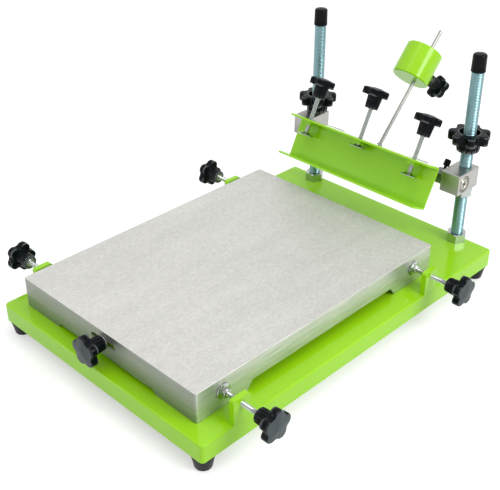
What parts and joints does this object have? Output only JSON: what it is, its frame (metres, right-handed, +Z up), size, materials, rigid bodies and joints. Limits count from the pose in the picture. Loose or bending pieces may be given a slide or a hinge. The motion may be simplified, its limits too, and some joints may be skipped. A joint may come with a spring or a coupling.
{
  "type": "manual screen printing machine",
  "caption": "Manual tabletop screen printer with a green base, a steel platen set by star-knob screws, and a hinged, counterweighted screen clamp on threaded posts.",
  "frame": {"origin": "on the bench, under the middle of the bounding box of the machine in the pose of the picture", "axes": "+Z up; +Y from the operator towards the posts; +X to the operator's right, from post to post"},
  "size_m": [0.453, 0.6316, 0.301],
  "materials": {
    "green_powder_coat": "gloss",
    "ground_steel": "ground",
    "black_rubber": "matte",
    "zinc_plated_steel": "bluish zinc",
    "bright_steel": "bright",
    "black_knob_plastic": "gloss",
    "black_vinyl": "satin",
    "milled_aluminium": "milled",
    "bearing_steel": "polished",
    "black_oxide": "satin"
  },
  "bodies": {
    "base": {"base_tray": "green_powder_coat", "foot_front_left": "black_rubber", "foot_front_right": "black_rubber", "foot_rear_left": "black_rubber", "foot_rear_right": "black_rubber", "post_left": "zinc_plated_steel", "post_right": "zinc_plated_steel", "post_nut_left": "zinc_plated_steel", "post_nut_right": "zinc_plated_steel", "post_cap_left": "black_vinyl", "post_cap_right": "black_vinyl"},
    "platen": {"platen": "ground_steel"},
    "lock": {"lock_screw": "bright_steel", "lock_knob": "black_knob_plastic"},
    "side_front_left": {"side_screw_front_left": "bright_steel", "side_knob_front_left": "black_knob_plastic"},
    "side_front_right": {"side_screw_front_right": "bright_steel", "side_knob_front_right": "black_knob_plastic"},
    "side_rear_left": {"side_screw_rear_left": "bright_steel", "side_knob_rear_left": "black_knob_plastic"},
    "side_rear_right": {"side_screw_rear_right": "bright_steel", "side_knob_rear_right": "black_knob_plastic"},
    "carriage": {"block_left": "milled_aluminium", "block_right": "milled_aluminium", "bearing_left": "bearing_steel", "bearing_right": "bearing_steel", "block_nut_left": "zinc_plated_steel", "block_nut_right": "zinc_plated_steel"},
    "wheel_left": {"hand_wheel_left": "black_knob_plastic"},
    "wheel_right": {"hand_wheel_right": "black_knob_plastic"},
    "clamp": {"channel": "green_powder_coat", "arm_left": "milled_aluminium", "arm_right": "milled_aluminium", "shaft": "bearing_steel", "weight_rod": "bright_steel", "stop_collar": "black_oxide"},
    "press_left": {"clamp_screw_left": "bright_steel", "clamp_knob_left": "black_knob_plastic"},
    "press_middle": {"clamp_screw_middle": "bright_steel", "clamp_knob_middle": "black_knob_plastic"},
    "press_right": {"clamp_screw_right": "bright_steel", "clamp_knob_right": "black_knob_plastic"},
    "weight": {"counterweight": "green_powder_coat", "weight_screw": "bright_steel", "weight_knob": "black_knob_plastic"}
  },
  "joints": [
    {"name": "carriage_height", "type": "slide", "parent": "base", "child": "carriage", "axis": [0, 0, 1], "range_m": [-0.03, 0.03]},
    {"name": "wheel_left_height", "type": "slide", "parent": "carriage", "child": "wheel_left", "axis": [0, 0, 1], "range_m": [0, 0.04]},
    {"name": "wheel_right_height", "type": "slide", "parent": "carriage", "child": "wheel_right", "axis": [0, 0, 1], "range_m": [-0.021, 0.03]},
    {"name": "clamp_tilt", "type": "hinge", "parent": "carriage", "child": "clamp", "pos_m": [0, 0.18319, 0.1366], "axis": [1, 0, 0], "range_deg": [-28, 26.8]},
    {"name": "press_left", "type": "slide", "parent": "clamp", "child": "press_left", "axis": [0, 0.4509, 0.8926], "range_m": [-0.027, 0.01]},
    {"name": "press_middle", "type": "slide", "parent": "clamp", "child": "press_middle", "axis": [0, 0.4509, 0.8926], "range_m": [-0.037, 0.001]},
    {"name": "press_right", "type": "slide", "parent": "clamp", "child": "press_right", "axis": [0, 0.4509, 0.8926], "range_m": [-0.027, 0.01]},
    {"name": "weight_along_rod", "type": "slide", "parent": "clamp", "child": "weight", "axis": [0, 0.6782, 0.7349], "range_m": [-0.055, 0.025]},
    {"name": "platen_shift", "type": "slide", "parent": "base", "child": "platen", "axis": [1, 0, 0], "range_m": [-0.005, 0.005]},
    {"name": "side_screw_front_left", "type": "slide", "parent": "base", "child": "side_front_left", "axis": [1, 0, 0], "range_m": [-0.005, 0.005]},
    {"name": "side_screw_front_right", "type": "slide", "parent": "base", "child": "side_front_right", "axis": [1, 0, 0], "range_m": [-0.005, 0.005]},
    {"name": "side_screw_rear_left", "type": "slide", "parent": "base", "child": "side_rear_left", "axis": [1, 0, 0], "range_m": [-0.005, 0.005]},
    {"name": "side_screw_rear_right", "type": "slide", "parent": "base", "child": "side_rear_right", "axis": [1, 0, 0], "range_m": [-0.005, 0.005]},
    {"name": "lock_release", "type": "slide", "parent": "base", "child": "lock", "axis": [0, -1, 0], "range_m": [0, 0.004]}
  ],
  "couplings": [
    {"joint": "side_screw_front_left", "follows": "platen_shift", "ratio": 1},
    {"joint": "side_screw_front_right", "follows": "platen_shift", "ratio": 1},
    {"joint": "side_screw_rear_left", "follows": "platen_shift", "ratio": 1},
    {"joint": "side_screw_rear_right", "follows": "platen_shift", "ratio": 1}
  ]
}
